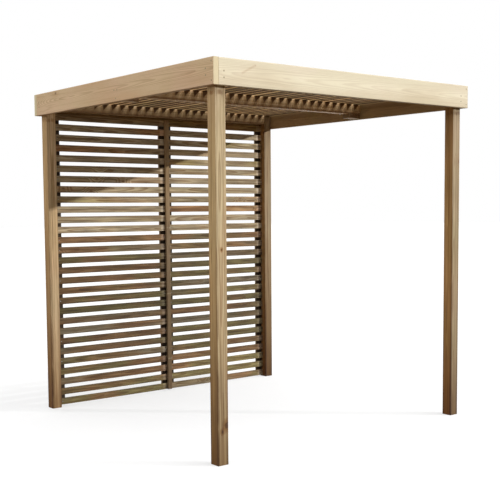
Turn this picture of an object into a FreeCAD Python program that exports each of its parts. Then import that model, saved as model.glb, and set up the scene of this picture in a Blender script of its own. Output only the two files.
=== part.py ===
"""A free-standing timber pergola: four posts, a frame of fascia boards, a slatted roof and one slatted wall.

The origin is on the ground under the centre of the plan. +X runs along the front, +Y back to the slatted wall and
+Z up. All sizes are in millimetres.
"""
import FreeCAD, Part
import Sketcher
import os
import re

# Driving dimensions: name, value, what it measures
SIZES = (
    ("span_across", 2021, "outer faces of the posts, left to right"),
    ("span_deep", 2021, "outer faces of the posts, front to back"),
    ("headroom", 2052, "ground to the underside of the fascia boards"),
    ("post_side", 70, "side of the square posts"),
    ("fascia_depth", 145, "fascia boards, top to bottom"),
    ("fascia_thick", 35, "fascia boards, face to face"),
    ("joist_width", 70, "joists, front to back"),
    ("joist_depth", 70, "joists, top to bottom"),
    ("joist_lift", 34, "underside of the fascia boards to the underside of the joists"),
    ("middle_joist_forward", 50, "centre of the plan forward to the middle joist's centre"),
    ("rest_length", 110, "block under each end of the middle joist, along the joist"),
    ("rest_depth", 30, "block under each end of the middle joist, top to bottom"),
    ("slat_width", 47, "slats of the wall and the roof, edge to edge"),
    ("slat_thick", 16, "slats of the wall and the roof, face to face"),
    ("slat_gap_least", 24, "narrowest gap that may be left between two slats"),
    ("roof_edge_gap", 15, "side fascia board to the nearest roof slat"),
    ("roof_end_clear", 2, "end of a roof slat to the fascia board"),
    ("wall_ground_gap", 10, "ground to the wall's lowest slat"),
    ("wall_top_gap", 13, "wall's highest slat to the back joist"),
    ("batten_width", 55, "upright battens behind the wall slats, edge to edge"),
    ("batten_thick", 16, "upright battens behind the wall slats, face to face"),
    ("strip_width", 36, "cover strip over the joint of the two wall panels, edge to edge"),
    ("strip_thick", 16, "cover strip over the joint of the two wall panels, face to face"),
    ("arris_radius", 2, "rounding of the timbers' long edges"),
    ("screw_diameter", 5, "shank of the wood screws"),
    ("screw_head_diameter", 9, "countersunk head of the wood screws"),
    ("screw_bite", 45, "length of a screw in the timber that it holds to"),
    ("screw_cover", 8, "wood left behind the point of a cover strip screw"),
    ("corner_screw_inset", 22, "top and bottom edge of a fascia board to its end screws"),
    ("fascia_screw_low", 40, "underside of the front and back fascia boards to the lower post screws"),
    ("fascia_screw_rise", 35, "lower post screws to the upper ones"),
    ("fascia_screw_stagger", 14, "height of the side boards' post screws over those of the front and back boards"),
    ("rest_screw_end", 30, "inner end of a block under the joist to its upright screw"),
    ("wall_screw_count", 4, "screws in each upright line of the wall"),
    ("nail_diameter", 2.5, "shank of the nails"),
    ("nail_head_diameter", 5, "flat head of the nails"),
    ("nail_head_thick", 1.2, "flat head of the nails"),
    ("nail_bite", 12, "length of a roof nail in the joist"),
    ("nail_cover", 4, "wood left behind the point of a wall nail"),
)

# Lines, levels and counts worked out from the sizes
LINES = {
    "half_across": "span_across / 2",
    "half_deep": "span_deep / 2",
    "outer_across": "half_across + fascia_thick",
    "outer_deep": "half_deep + fascia_thick",
    "post_centre_across": "half_across - post_side / 2",
    "post_centre_deep": "half_deep - post_side / 2",
    "post_inner_across": "half_across - post_side",
    "joist_underside": "headroom + joist_lift",
    "joist_top": "joist_underside + joist_depth",
    "rest_underside": "joist_underside - rest_depth",
    "edge_joist_centre": "half_deep - joist_width / 2",
    "batten_front": "half_deep - batten_thick",
    "slat_front": "batten_front - slat_thick",
    "strip_front": "slat_front - strip_thick",
    "wall_height": "joist_underside - wall_top_gap - wall_ground_gap",
    "wall_slats": "floor((wall_height + slat_gap_least) / (slat_width + slat_gap_least))",
    "wall_pitch": "(wall_height - slat_width) / (wall_slats - 1)",
    "wall_first_slat": "wall_ground_gap + slat_width / 2",
    "wall_screw_start": "floor(wall_slats / wall_screw_count / 2) * wall_pitch",
    "wall_screw_step": "floor(wall_slats / wall_screw_count) * wall_pitch",
    "roof_room": "span_across - 2 * roof_edge_gap",
    "roof_slats": "floor((roof_room + slat_gap_least) / (slat_width + slat_gap_least))",
    "roof_pitch": "(roof_room - slat_width) / (roof_slats - 1)",
    "screw_through_fascia": "fascia_thick + screw_bite",
}

AXES = {
    "X": FreeCAD.Vector(1, 0, 0),
    "Y": FreeCAD.Vector(0, 1, 0),
    "Z": FreeCAD.Vector(0, 0, 1),
}

# Two directions with a cosine above this run along the same axis, since all here are square to one another
ALONG = 0.5

# A timber's section lies on this plane of its body, and the pad is reversed where the plane faces backwards
SECTION_PLANES = {"X": ("YZ_Plane", False), "Y": ("XZ_Plane", True), "Z": ("XY_Plane", False)}

# A fastener is modelled pointing down, and turned about this axis by this angle to point elsewhere
TURNS = {
    "down": ("X", 0),
    "up": ("X", 180),
    "back": ("X", 90),
    "front": ("X", -90),
    "right": ("Y", -90),
    "left": ("Y", 90),
}

# The axis along which a nail goes into a slat, and whether it goes up or down that axis
INWARD = {"down": ("z", "-"), "back": ("y", "+")}

doc = FreeCAD.newDocument("pergola")
sheet = doc.addObject("Spreadsheet::Sheet", "Sizes")
for row, (name, value, meaning) in enumerate(SIZES, start=1):
    sheet.set(f"A{row}", meaning)
    sheet.set(f"B{row}", str(value))
    sheet.setAlias(f"B{row}", name)
doc.recompute()

SIZE_NAMES = {name for name, value, meaning in SIZES}
sub_parts = []


def formula(text):
    """The text with each line and size in it replaced by the cells that it comes from."""
    def cells(match):
        name = match.group(0)
        if name in LINES:
            return f"({formula(LINES[name])})"
        if name in SIZE_NAMES:
            return f"Sizes.{name}"
        return name
    return re.sub(r"[a-z_]+", cells, text)


def bind(piece, values):
    """Each property of the piece follows its formula."""
    for prop, text in values.items():
        piece.setExpression(prop, formula(text))


def place(piece, corner):
    """The piece's own origin follows the three formulas."""
    bind(piece, {f"Placement.Base.{axis}": text for axis, text in zip("xyz", corner)})


def origin_feature(body, role):
    """A plane or axis of the body's own origin."""
    return next(feature for feature in body.Origin.OriginFeatures if feature.Role == role)


def section(body, plane, width, height):
    """A rectangle on one of the body's planes, with its first corner on the origin."""
    sketch = body.newObject("Sketcher::SketchObject", body.Name + "_section")
    sketch.AttachmentSupport = [(origin_feature(body, plane), "")]
    sketch.MapMode = "FlatFace"
    corners = [FreeCAD.Vector(x, y, 0) for x, y in ((0, 0), (1, 0), (1, 1), (0, 1))]
    for side in range(4):
        sketch.addGeometry(Part.LineSegment(corners[side], corners[(side + 1) % 4]))
    for side in range(4):
        sketch.addConstraint(Sketcher.Constraint("Coincident", side, 2, (side + 1) % 4, 1))
        sketch.addConstraint(Sketcher.Constraint("Vertical" if side % 2 else "Horizontal", side))
    sketch.addConstraint(Sketcher.Constraint("Coincident", 0, 1, -1, 1))
    for name, kind, side, text in (("width", "DistanceX", 0, width), ("height", "DistanceY", 1, height)):
        number = sketch.addConstraint(Sketcher.Constraint(kind, side, 1, side, 2, 1))
        sketch.renameConstraint(number, name)
        bind(sketch, {f"Constraints.{name}": text})
    return sketch


def timber(name, along, length, width, height, corner):
    """A planed timber: its section padded along an axis, with the four long edges eased.

    Width and height are the section's two sides in the order of the axes that are left.
    """
    body = doc.addObject("PartDesign::Body", name + "_timber")
    plane, reversed_pad = SECTION_PLANES[along]
    pad = body.newObject("PartDesign::Pad", name + "_pad")
    pad.Profile = section(body, plane, width, height)
    pad.Reversed = reversed_pad
    bind(pad, {"Length": length})
    doc.recompute([pad])
    long_edges = [
        f"Edge{number}"
        for number, edge in enumerate(pad.Shape.Edges, start=1)
        if abs(edge.tangentAt(edge.FirstParameter).dot(AXES[along])) > ALONG
    ]
    arris = body.newObject("PartDesign::Fillet", name + "_arris")
    arris.Base = (pad, long_edges)
    bind(arris, {"Radius": "arris_radius"})
    body.Tip = arris
    place(body, corner)
    return body


def repeat(body, rows):
    """The body's whole shape repeated along the model's axes, one row after another.

    Each row gives the axis, how many there are and the distance from one to the next.
    """
    for axis, count, step in rows:
        own = body.Placement.Rotation.inverted().multVec(AXES[axis])
        role = next(name for name in AXES if abs(own.dot(AXES[name])) > ALONG)
        doc.recompute([body])
        pattern = body.newObject("PartDesign::LinearPattern", f"{body.Name}_along_{axis}")
        pattern.TransformMode = "Whole shape"
        pattern.Direction = (origin_feature(body, role + "_Axis"), [""])
        pattern.Reversed = own.dot(AXES[role]) < 0
        pattern.Mode = "Spacing"
        bind(pattern, {"Offset": step, "Occurrences": count})
        body.Tip = pattern


def primitive(body, feature, name, values):
    """A simple solid that is added to the body or cut from it."""
    piece = body.newObject("PartDesign::" + feature, f"{body.Name}_{name}")
    bind(piece, values)


def shank(name, points, corner, length, diameter, head_height):
    """A new fastener body, turned to point the given way: its pointed shank, with the head's top on the origin."""
    body = doc.addObject("PartDesign::Body", name)
    axis, angle = TURNS[points]
    body.Placement = FreeCAD.Placement(FreeCAD.Vector(), FreeCAD.Rotation(AXES[axis], angle))
    place(body, corner)
    primitive(body, "AdditiveCylinder", "shank", {
        "Radius": f"{diameter} / 2",
        "Height": f"{length} - {head_height} - {diameter}",
        "Placement.Base.z": f"{diameter} - ({length})",
    })
    primitive(body, "AdditiveCone", "point", {
        "Radius1": "0",
        "Radius2": f"{diameter} / 2",
        "Height": diameter,
        "Placement.Base.z": f"-({length})",
    })
    return body


def screws(name, points, corner, length, rows=()):
    """Wood screws with a countersunk head, flush with the face that they enter."""
    head_height = "(screw_head_diameter - screw_diameter) / 2"
    body = shank(name, points, corner, length, "screw_diameter", head_height)
    primitive(body, "AdditiveCone", "head", {
        "Radius1": "screw_diameter / 2",
        "Radius2": "screw_head_diameter / 2",
        "Height": head_height,
        "Placement.Base.z": f"-{head_height}",
    })
    repeat(body, rows)
    return body


def nails(name, points, corner, length, rows):
    """Flat-headed nails, flush with the face that they enter."""
    body = shank(name, points, corner, length, "nail_diameter", "nail_head_thick")
    primitive(body, "AdditiveCylinder", "head", {
        "Radius": "nail_head_diameter / 2",
        "Height": "nail_head_thick",
        "Placement.Base.z": "-nail_head_thick",
    })
    repeat(body, rows)
    return body


def nail_hole(slat, name, points, entry):
    """The hole that a nail fills in a slat: its shank right through, and its head at the face that it enters.

    Entry gives the middle of the nail's head in the slat's own frame.
    """
    turn, angle = TURNS[points]
    axis, inward = INWARD[points]
    for part, radius, depth in (("shank", "nail_diameter / 2", "slat_thick"),
                                ("head", "nail_head_diameter / 2", "nail_head_thick")):
        hole = slat.newObject("PartDesign::SubtractiveCylinder", f"{slat.Name}_{name}_{part}")
        hole.Placement = FreeCAD.Placement(FreeCAD.Vector(), FreeCAD.Rotation(AXES[turn], angle))
        bind(hole, {"Radius": radius, "Height": depth})
        far_end = {**entry, axis: f"{entry[axis]} {inward} {depth}"}
        bind(hole, {f"Placement.Base.{across}": text for across, text in far_end.items()})


def group(name, bodies):
    """Like pieces as one sub-part of separate solids."""
    compound = doc.addObject("Part::Compound", name)
    compound.Label = name
    compound.Links = list(bodies)
    sub_parts.append(compound)
    return compound


def drill(name, body, fasteners):
    """The timber with the holes that its fasteners fill, as one sub-part."""
    tool = doc.addObject("Part::Compound", name + "_fasteners")
    tool.Links = fasteners
    piece = doc.addObject("Part::Cut", name)
    piece.Label = name
    piece.Base = body
    piece.Tool = tool
    sub_parts.append(piece)


# Screws through the fascia boards into the posts, two to each board at each post
ACROSS_ROWS = (("X", "2", "2 * post_centre_across"), ("Z", "2", "fascia_screw_rise"))
DEEP_ROWS = (("Y", "2", "2 * post_centre_deep"), ("Z", "2", "fascia_screw_rise"))
FRONT_LEVEL = "headroom + fascia_screw_low"
SIDE_LEVEL = "headroom + fascia_screw_low + fascia_screw_stagger"
FASCIA_SCREWS = (
    ("front", "back", ("-post_centre_across", "-outer_deep", FRONT_LEVEL), ACROSS_ROWS),
    ("back", "front", ("-post_centre_across", "outer_deep", FRONT_LEVEL), ACROSS_ROWS),
    ("left", "right", ("-outer_across", "-post_centre_deep", SIDE_LEVEL), DEEP_ROWS),
    ("right", "left", ("outer_across", "-post_centre_deep", SIDE_LEVEL), DEEP_ROWS),
)
fascia_screws = {
    board: screws(f"fascia_screws_{board}", points, corner, "screw_through_fascia", rows)
    for board, points, corner, rows in FASCIA_SCREWS
}
group("fascia_screws", fascia_screws.values())

# Screws through the covering end of each fascia board into the end of its neighbour
CORNER_LEVEL = "headroom + corner_screw_inset"
CORNER_ROWS = (("Z", "2", "fascia_depth - 2 * corner_screw_inset"),)
CORNER_SCREWS = (
    ("front_left", "right", ("-outer_across", "-(half_deep + fascia_thick / 2)", CORNER_LEVEL)),
    ("front_right", "back", ("half_across + fascia_thick / 2", "-outer_deep", CORNER_LEVEL)),
    ("back_right", "left", ("outer_across", "half_deep + fascia_thick / 2", CORNER_LEVEL)),
    ("back_left", "front", ("-(half_across + fascia_thick / 2)", "outer_deep", CORNER_LEVEL)),
)
corner_screws = {
    at: screws(f"corner_screws_{at}", points, corner, "screw_through_fascia", CORNER_ROWS)
    for at, points, corner in CORNER_SCREWS
}
group("corner_screws", corner_screws.values())

# Screws through the posts into the front and back joists, two to each end, between the levels of the fascia screws
ENDS = (("front", -1), ("back", 1))
SIDES = (("left", -1, "right"), ("right", 1, "left"))
EDGE_JOIST_LEVEL = "headroom + fascia_screw_low + fascia_screw_rise / 2"
JOIST_ROWS = (("Y", "2", "joist_width / 2"),)
edge_joist_screws = {
    (end, side): screws(f"edge_joist_screws_{end}_{side}", points,
                        (f"{across} * half_across", f"{deep} * edge_joist_centre - joist_width / 4", EDGE_JOIST_LEVEL),
                        "post_side + screw_bite", JOIST_ROWS)
    for end, deep in ENDS
    for side, across, points in SIDES
}
group("edge_joist_screws", edge_joist_screws.values())

# Screws through the side fascia boards into the middle joist, and two for each block under its ends
middle_joist_screws = {
    side: screws(f"middle_joist_screws_{side}", points,
                 (f"{across} * outer_across", "-middle_joist_forward - joist_width / 4",
                  "joist_underside + joist_depth / 2"),
                 "screw_through_fascia", JOIST_ROWS)
    for side, across, points in SIDES
}
group("middle_joist_screws", middle_joist_screws.values())
rest_end_screws = {
    side: screws(f"rest_end_screw_{side}", points,
                 (f"{across} * outer_across", "-middle_joist_forward", "joist_underside - rest_depth / 2"),
                 "screw_through_fascia")
    for side, across, points in SIDES
}
rest_upright_screws = {
    side: screws(f"rest_upright_screw_{side}", "up",
                 (f"{across} * (half_across - rest_length + rest_screw_end)", "-middle_joist_forward",
                  "rest_underside"),
                 "rest_depth + screw_bite")
    for side, across, points in SIDES
}
group("rest_screws", [*rest_end_screws.values(), *rest_upright_screws.values()])

# Screws through the edges of the wall's outer battens into the posts, at the height of a gap between two slats
WALL_SCREW_ROW = ("Z", "wall_screw_count", "wall_screw_step")
wall_screws = {
    side: screws(f"wall_screws_{side}", side,
                 (f"{across} * (post_inner_across - batten_width)", "half_deep - batten_thick / 2",
                  "wall_first_slat + wall_pitch / 2 + wall_screw_start"),
                 "batten_width + screw_bite", (WALL_SCREW_ROW,))
    for side, across, points in SIDES
}
group("wall_screws", wall_screws.values())

# Screws through the cover strip into both panels, at the height of a slat
strip_screws = screws("strip_screw_rows", "back",
                      ("-strip_width / 4", "strip_front", "wall_first_slat + wall_screw_start"),
                      "strip_thick + slat_thick + batten_thick - screw_cover",
                      (("X", "2", "strip_width / 2"), WALL_SCREW_ROW))
group("strip_screws", [strip_screws])

# Nails through both ends of every wall slat into the battens
WALL_NAIL_ROWS = (("X", "2", "post_inner_across - batten_width"), ("Z", "wall_slats", "wall_pitch"))
PANEL_STARTS = {"left": "-post_inner_across", "right": "0"}
wall_nails = {
    side: nails(f"wall_nail_rows_{side}", "back", (f"{start} + batten_width / 2", "slat_front", "wall_first_slat"),
                "slat_thick + batten_thick - nail_cover", WALL_NAIL_ROWS)
    for side, start in PANEL_STARTS.items()
}
for side in PANEL_STARTS:
    group(f"wall_nails_{side}", [wall_nails[side]])

# Nails through every roof slat into the three joists, and into the post tops under the outermost slats
NAIL_LINES = {
    "front": "joist_width / 4 - edge_joist_centre",
    "middle": "-middle_joist_forward",
    "back": "edge_joist_centre - joist_width / 4",
}
roof_nails = {
    line: nails(f"roof_nail_row_{line}", "down",
                ("roof_edge_gap + slat_width / 2 - half_across", deep, "joist_top + slat_thick"),
                "slat_thick + nail_bite", (("X", "roof_slats", "roof_pitch"),))
    for line, deep in NAIL_LINES.items()
}
group("roof_nails", roof_nails.values())

# Posts inside the corners of the fascia frame, up to the underside of the roof slats
for end, deep in ENDS:
    for side, across, points in SIDES:
        name = f"post_{end}_{side}"
        post = timber(name, "Z", "joist_top", "post_side", "post_side",
                      (f"{across} * post_centre_across - post_side / 2",
                       f"{deep} * post_centre_deep - post_side / 2", "0"))
        held_by = [fascia_screws[end], fascia_screws[side], edge_joist_screws[end, side], roof_nails[end]]
        if end == "back":
            held_by.append(wall_screws[side])
        drill(name, post, held_by)

# Fascia boards: each butts against the next at one end and covers the one before at the other
FASCIAS = (
    ("front", "X", "span_across", ("-half_across", "-outer_deep", "headroom")),
    ("back", "X", "span_across", ("-outer_across", "half_deep", "headroom")),
    ("left", "Y", "span_deep", ("-outer_across", "-outer_deep", "headroom")),
    ("right", "Y", "span_deep", ("half_across", "-half_deep", "headroom")),
)
for board, along, span, corner in FASCIAS:
    fascia = timber(f"fascia_{board}", along, f"{span} + fascia_thick", "fascia_thick", "fascia_depth", corner)
    held_by = [fascia_screws[board]] + [corner_screws[at] for at in corner_screws if board in at]
    if board in middle_joist_screws:
        held_by += [middle_joist_screws[board], rest_end_screws[board]]
    drill(f"fascia_{board}", fascia, held_by)

# Joists: the front and back ones between the posts, the middle one between the side fascia boards
for end, deep in ENDS:
    joist = timber(f"joist_{end}", "X", "2 * post_inner_across", "joist_width", "joist_depth",
                   ("-post_inner_across", f"{deep} * edge_joist_centre - joist_width / 2", "joist_underside"))
    drill(f"joist_{end}", joist, [edge_joist_screws[end, "left"], edge_joist_screws[end, "right"], roof_nails[end]])
middle_joist_front = "-middle_joist_forward - joist_width / 2"
joist = timber("joist_middle", "X", "span_across", "joist_width", "joist_depth",
               ("-half_across", middle_joist_front, "joist_underside"))
drill("joist_middle", joist, [*middle_joist_screws.values(), *rest_upright_screws.values(), roof_nails["middle"]])

# Blocks under the ends of the middle joist
for side, start in (("left", "-half_across"), ("right", "half_across - rest_length")):
    rest = timber(f"joist_rest_{side}", "X", "rest_length", "joist_width", "rest_depth",
                  (start, middle_joist_front, "rest_underside"))
    drill(f"joist_rest_{side}", rest, [rest_end_screws[side], rest_upright_screws[side]])

# Slatted wall between the back posts: two panels of slats on upright battens, and the cover strip over their joint
for side, start in PANEL_STARTS.items():
    slats = timber(f"wall_slats_{side}", "X", "post_inner_across", "slat_thick", "slat_width",
                   (start, "slat_front", "wall_ground_gap"))
    for edge, across in (("first", "batten_width / 2"), ("last", "post_inner_across - batten_width / 2")):
        nail_hole(slats, edge, "back", {"x": across, "y": "0", "z": "slat_width / 2"})
    repeat(slats, (("Z", "wall_slats", "wall_pitch"),))
    drill(f"wall_slats_{side}", slats, [strip_screws])
BATTENS = (
    ("left", "outer", "-post_inner_across", wall_screws["left"]),
    ("left", "inner", "-batten_width", strip_screws),
    ("right", "inner", "0", strip_screws),
    ("right", "outer", "post_inner_across - batten_width", wall_screws["right"]),
)
for side, edge, start, held_by in BATTENS:
    batten = timber(f"wall_batten_{side}_{edge}", "Z", "wall_height", "batten_width", "batten_thick",
                    (start, "batten_front", "wall_ground_gap"))
    drill(f"wall_batten_{side}_{edge}", batten, [wall_nails[side], held_by])
strip = timber("wall_cover_strip", "Z", "wall_height", "strip_width", "strip_thick",
               ("-strip_width / 2", "strip_front", "wall_ground_gap"))
drill("wall_cover_strip", strip, [strip_screws])

# Roof slats, all alike, front to back over the joists and spread evenly between the side fascia boards
slat = timber("roof_slat", "Y", "span_deep - 2 * roof_end_clear", "slat_width", "slat_thick",
              ("roof_edge_gap - half_across", "roof_end_clear - half_deep", "joist_top"))
for line, deep in NAIL_LINES.items():
    nail_hole(slat, line, "down", {"x": "slat_width / 2", "y": f"{deep} + half_deep - roof_end_clear", "z": "slat_thick"})
slat_room = sheet.slat_width + sheet.slat_gap_least
roof_count = int((sheet.span_across - 2 * sheet.roof_edge_gap + sheet.slat_gap_least) // slat_room)
for number in range(roof_count):
    copy = group(f"roof_slat_{number + 1:02d}", [slat])
    bind(copy, {"Placement.Base.x": f"{number} * roof_pitch"})

doc.recompute()
failed = [piece.Name for piece in doc.Objects if {"Invalid", "Error"} & set(piece.State)]
if failed:
    raise RuntimeError(f"not computed: {failed}")
for piece in sub_parts:
    if piece.Shape.isNull() or not piece.Shape.isValid() or not piece.Shape.Solids:
        raise RuntimeError(f"{piece.Label} is not a valid solid")
    if piece.TypeId == "Part::Cut" and piece.Shape.Volume >= piece.Base.Shape.Volume:
        raise RuntimeError(f"{piece.Label} has no holes for its fasteners")

os.makedirs("parts", exist_ok=True)
for piece in sub_parts:
    piece.Shape.exportStep(f"parts/{piece.Label}.step")
    print(piece.Label, len(piece.Shape.Solids), round(piece.Shape.Volume))
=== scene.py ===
"""The looks of a timber garden pergola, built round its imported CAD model.

Each timber is a planed board with eased edges, its own growth rings and its own colour. The fasteners are the CAD
model's own. All lengths are in metres, in the CAD model's frame.
"""
import fnmatch
import math

import bpy
import numpy as np
from mathutils import Matrix, Vector


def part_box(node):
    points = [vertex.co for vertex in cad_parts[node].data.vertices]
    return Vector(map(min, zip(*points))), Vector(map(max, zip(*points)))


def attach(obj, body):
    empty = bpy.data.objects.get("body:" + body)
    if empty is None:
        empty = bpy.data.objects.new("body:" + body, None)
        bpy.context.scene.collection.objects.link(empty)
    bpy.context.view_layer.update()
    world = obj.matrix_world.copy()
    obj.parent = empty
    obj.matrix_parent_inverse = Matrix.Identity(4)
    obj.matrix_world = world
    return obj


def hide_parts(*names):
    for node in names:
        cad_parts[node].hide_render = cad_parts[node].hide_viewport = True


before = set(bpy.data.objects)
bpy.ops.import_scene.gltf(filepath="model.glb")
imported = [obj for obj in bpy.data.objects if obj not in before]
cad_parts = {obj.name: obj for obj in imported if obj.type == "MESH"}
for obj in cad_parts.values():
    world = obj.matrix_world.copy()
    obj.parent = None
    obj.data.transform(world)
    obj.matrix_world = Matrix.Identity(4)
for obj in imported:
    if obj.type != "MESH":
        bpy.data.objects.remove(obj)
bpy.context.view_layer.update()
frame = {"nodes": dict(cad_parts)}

bl_info = {
    "name": "Timber Pergola",
    "version": (1, 0, 0),
    "blender": (4, 5, 0),
    "location": "View3D > Sidebar > Pergola",
    "description": "Planed timbers, fasteners and stage of a garden pergola",
    "category": "Add Mesh",
}


def named(pattern):
    """Names of the nodes that fit a pattern, in order."""
    return sorted(fnmatch.filter(frame["nodes"], pattern))


ROOF_SLATS = named("roof_slat_*")
POSTS = named("post_*")
FASCIAS = [name for name in named("fascia_*") if name != "fascia_screws"]
JOISTS = named("joist_*")
BATTENS = named("wall_batten_*") + ["wall_cover_strip"]
WALL_SLATS = named("wall_slats_*")
SCREWS = named("*_screws")
NAILS = named("*_nails*")

# Axes of the frame
ACROSS, DEEP, UP = range(3)

# Seed of the first timber of each kind, and the step from one wall panel to the next
POST_SEED, FASCIA_SEED, JOIST_SEED, WALL_SEED, BATTEN_SEED, ROOF_SEED = 100, 200, 300, 400, 520, 600
PANEL_SEEDS = 50

# Columns of points round a section: on a corner's quarter circle, and at a flat's start as shares of the flat
ARC_COLUMNS = 4
FLAT_COLUMNS = (0.04, 0.22)
# What each column from a corner to the next is: the lips and the bottom of a check, or plain; and how soiled it gets
PLAIN, BOTTOM = 9, 0
CORNER_MARKS = [PLAIN] * 6 + [-1, BOTTOM, 1] + [PLAIN] * 2
CORNER_SOILED = [1.0] * 4 + [0.9] + [0.0] * 5 + [0.9]
SHARP_ANGLE = math.radians(40)

# Checks: sideways sway in metres, least length, and how far the lips close where there is none
CHECK_SWING, SHORTEST_CHECK, LIP_CLOSING = 0.010, 0.2, 0.9
# Share of a board's length after which its grain bends
BEND_START = 0.72

# Tints that multiply the wood's colour
LATE_TINT = (0.52, 0.40, 0.28)
BLOTCH_TINT = (0.74, 0.73, 0.62)
STREAK_TINT = (0.62, 0.54, 0.43)
FIBRE_TINT = (0.55, 0.48, 0.40)
SWIRL_TINT = (0.80, 0.64, 0.48)
TOP_TINT = (0.64, 0.64, 0.66)
FOOT_TINT = (0.44, 0.36, 0.27)
ARRIS_TINT = (0.32, 0.22, 0.13)
DRIP_TINT = (0.62, 0.50, 0.42)
KNOT_RING_TINT = (0.70, 0.54, 0.38)
KNOT_HEART_TINT = (0.40, 0.33, 0.24)
# Painted shade on the posts' sides; the right side tint is painted light
PAINTED_SHADE_SIDE_TINT = (0.96, 0.86, 0.70)
PAINTED_LIGHT_RIGHT_SIDE_TINT = (1.25, 1.08, 0.85)
PAINTED_SHADE_BACK_LEFT_TINT = (0.68, 0.67, 0.64)
PAINTED_SHADE_LOW_SIDE_TINT = (0.63, 0.49, 0.28)
# Painted shade under the roof slats and at the foot of the joists' fronts
PAINTED_SHADE_NOTCH_TINT = (0.24, 0.17, 0.10)
PAINTED_SHADE_JOIST_FOOT_TINT = (0.45, 0.36, 0.28)
# Painted shade on the roof slats' undersides
PAINTED_SHADE_UNDERSIDE_TINT = (0.24, 0.185, 0.12)
# Painted shade on the battens' fronts
PAINTED_SHADE_FRONT_TINT = (0.24, 0.22, 0.20)
SCUFF_TINT = (0.74, 0.62, 0.52)
# Sawn ends, as a share of the wood's own colour
END_SHADE, WALL_END_SHADE = 0.6, 0.7

# Where a mark sets in and where it is full: a face's direction, a place or depth in metres, or for fingers slat pitches
LOOKS_TO_FRONT = (-0.6, -0.9)
LOOKS_DOWN = (-0.5, -0.95)
RIGHT_HALF = BACK_HALF = (0.5, 0.6)
# Heights of the painted light on the cover strip
PAINTED_LIGHT_HEIGHTS = (1.25, 1.55)
# Places of the painted light on the slats' right-hand ends
INNER_END_LEFT, INNER_END_RIGHT, OUTER_END_LEFT = (-0.062, -0.050), (-0.004, 0.0), (0.880, 0.892)
# Sizes of the painted sunlight and shade on the joists' fronts: finger edges, tips' depth and foot's depth
FINGER_EDGE = (0.07, 0.22)
PAINTED_LIGHT_TIP_DEPTH = (0.004, 0.034)
PAINTED_SHADE_JOIST_FOOT_DEPTH = (0.046, 0.066)
SCUFF_EDGE = (0.001, 0.010)
SCUFF_DOT = (0.003, 0.008)
# Height at which the darkening towards the floor ends, and lengths over which drips and the scuff fade
DARKENING_REACH, DRIP_EDGE, SCUFF_FADE, SCUFF_STOP = 1.4, 0.01, 0.02, 0.01
# Raggedness of edges, in metres, or for fingers in slat pitches
DRIP_RAGGED, KNOT_RAGGED, FINGER_RAGGED = 0.03, 0.012, 0.08
# How strongly a mark brightens, greys or shows; the lifts and the greying are painted light
PAINTED_LIGHT_HEIGHT_LIFT, PAINTED_LIGHT_END_LIFT, PAINTED_LIGHT_TIP_LIFT, PAINTED_LIGHT_END_GREYING, SCUFF_SHARE, SCUFF_DOT_SHARE = 0.8, 0.4, 0.45, 0.2, 0.45, 0.6
# Knots: shape of single ones, cells to the metre, and how far the rings bend round one
KNOT_STRETCH = Vector((1.0, 1.0, 0.7))
KNOT_CELLS, SWIRL_BEND = (4.5, 7.0, 1.0), 0.010

# Names of the lamps in the settings, and the sensor's width in millimetres
LAMPS = ("key", "top", "side", "back")
SENSOR_WIDTH = 36


def slat_width():
    """Width of a slat, read from the first roof slat of the frame."""
    low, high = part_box(ROOF_SLATS[0])
    return high.x - low.x


def count_setting(name, description, default):
    """A setting that is a count."""
    return bpy.props.IntProperty(name=name, description=description, default=default)


def number_setting(name, description, default):
    """A setting that is a plain number."""
    return bpy.props.FloatProperty(name=name, description=description, default=default)


def colour_setting(name, description, default):
    """A setting that is a colour."""
    return bpy.props.FloatVectorProperty(name=name, description=description, default=default, subtype="COLOR")


def length_setting(name, description, default):
    """A setting that is a length."""
    return bpy.props.FloatProperty(name=name, description=description, default=default, unit="LENGTH")


def place_setting(name, description, default):
    """A setting that is a place."""
    return bpy.props.FloatVectorProperty(
        name=name, description=description, default=default, subtype="TRANSLATION", unit="LENGTH")


def angles_setting(name, *degrees):
    """A setting for a lamp's three angles."""
    return bpy.props.FloatVectorProperty(
        name=name, description="Apparent width, turn from the front towards the right, and rise above the floor",
        default=[math.radians(angle) for angle in degrees], unit="ROTATION")


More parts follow.
